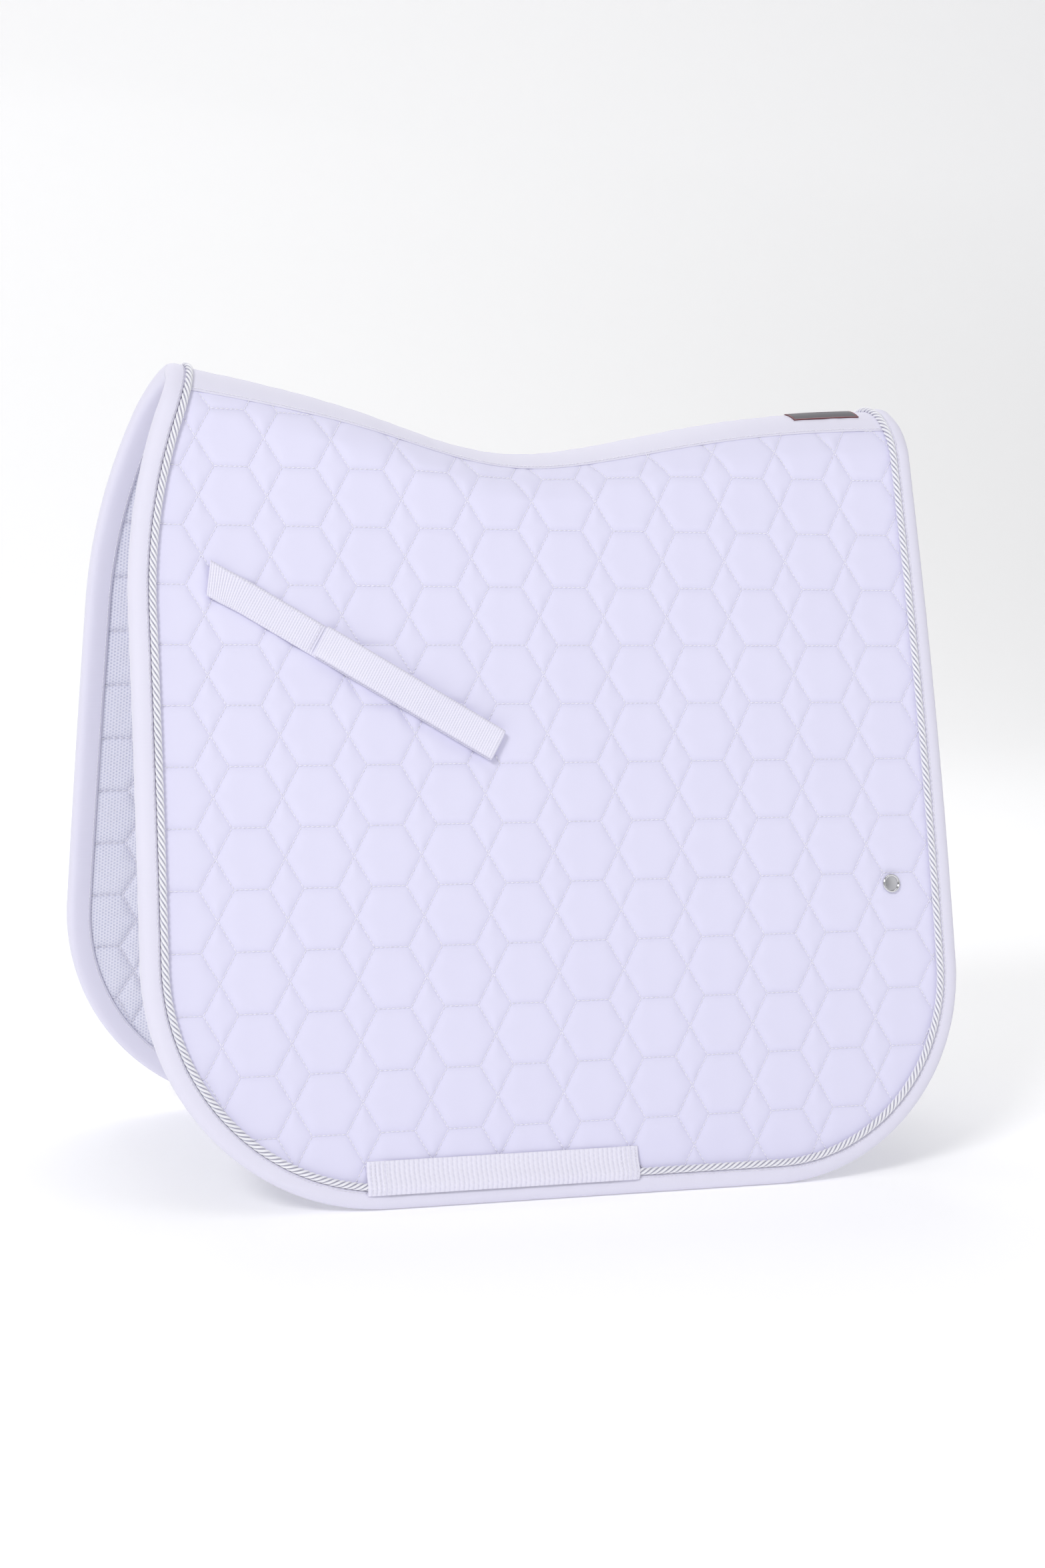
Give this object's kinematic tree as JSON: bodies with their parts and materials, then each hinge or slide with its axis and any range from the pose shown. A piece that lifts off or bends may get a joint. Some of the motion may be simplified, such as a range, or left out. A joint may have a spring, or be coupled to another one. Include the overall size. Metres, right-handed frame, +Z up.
{
  "type": "saddle pad",
  "caption": "Quilted dressage saddle pad with padded flaps that fold at the spine, piped edge binding, girth loops, hook-and-loop keeper straps and a badge.",
  "frame": {"origin": "underside of the spine at the lowest point of its dip, on the middle plane, where the pad sits on the horse's back", "axes": "+X towards the tail, -Y towards the horse's left (near) side, +Z up"},
  "size_m": [0.6501, 0.379, 0.6142],
  "materials": {
    "quilt_fabric": "fine woven polyester with a soft sheen",
    "foam": "open-cell foam and wadding",
    "mesh_lining": "knitted spacer mesh",
    "binding_tape": "smooth woven tape",
    "piping_cord": "twisted satin cord",
    "webbing": "ribbed woven webbing",
    "stitching": "polyester thread",
    "hook_and_loop": "moulded hooks and looped pile",
    "label_fabric": "damask-woven label",
    "badge_metal": "polished rim, satin face"
  },
  "bodies": {
    "spine": {"spine_binding": "binding_tape", "spine_lining_tape": "binding_tape", "top_foam_core": "foam", "top_front_binding": "binding_tape", "top_front_piping": "piping_cord", "top_mesh_lining": "mesh_lining", "top_outer_shell": "quilt_fabric", "top_rear_binding": "binding_tape", "top_rear_piping": "piping_cord", "woven_label": "label_fabric"},
    "left_flap": {"badge_cap": "badge_metal", "badge_washer": "badge_metal", "left_edge_binding": "binding_tape", "left_foam_core": "foam", "left_girth_loop": "webbing", "left_girth_tacks": "stitching", "left_keeper_base": "webbing", "left_keeper_loop_tape": "hook_and_loop", "left_keeper_stitching": "stitching", "left_mesh_lining": "mesh_lining", "left_outer_shell": "quilt_fabric", "left_piping": "piping_cord"},
    "right_flap": {"right_edge_binding": "binding_tape", "right_foam_core": "foam", "right_girth_loop": "webbing", "right_girth_tacks": "stitching", "right_keeper_base": "webbing", "right_keeper_loop_tape": "hook_and_loop", "right_keeper_stitching": "stitching", "right_mesh_lining": "mesh_lining", "right_outer_shell": "quilt_fabric", "right_piping": "piping_cord"},
    "left_keeper": {"left_keeper_closure": "webbing", "left_keeper_hook_tape": "hook_and_loop"},
    "right_keeper": {"right_keeper_closure": "webbing", "right_keeper_hook_tape": "hook_and_loop"}
  },
  "joints": [
    {"name": "left_flap_hinge", "type": "hinge", "parent": "spine", "child": "left_flap", "pos_m": [0, -0.06421, -0.04672], "axis": [-1, 0, 0], "range_deg": [-17, 70]},
    {"name": "right_flap_hinge", "type": "hinge", "parent": "spine", "child": "right_flap", "pos_m": [0, 0.06421, -0.04672], "axis": [1, 0, 0], "range_deg": [-17, 70]},
    {"name": "left_keeper_fold", "type": "hinge", "parent": "left_flap", "child": "left_keeper", "pos_m": [-0.04377, -0.11891, -0.2033], "axis": [0.5135, 0.2281, 0.8272], "range_deg": [0, 150]},
    {"name": "right_keeper_fold", "type": "hinge", "parent": "right_flap", "child": "right_keeper", "pos_m": [-0.04377, 0.11891, -0.2033], "axis": [-0.5135, 0.2281, -0.8272], "range_deg": [0, 150]}
  ]
}
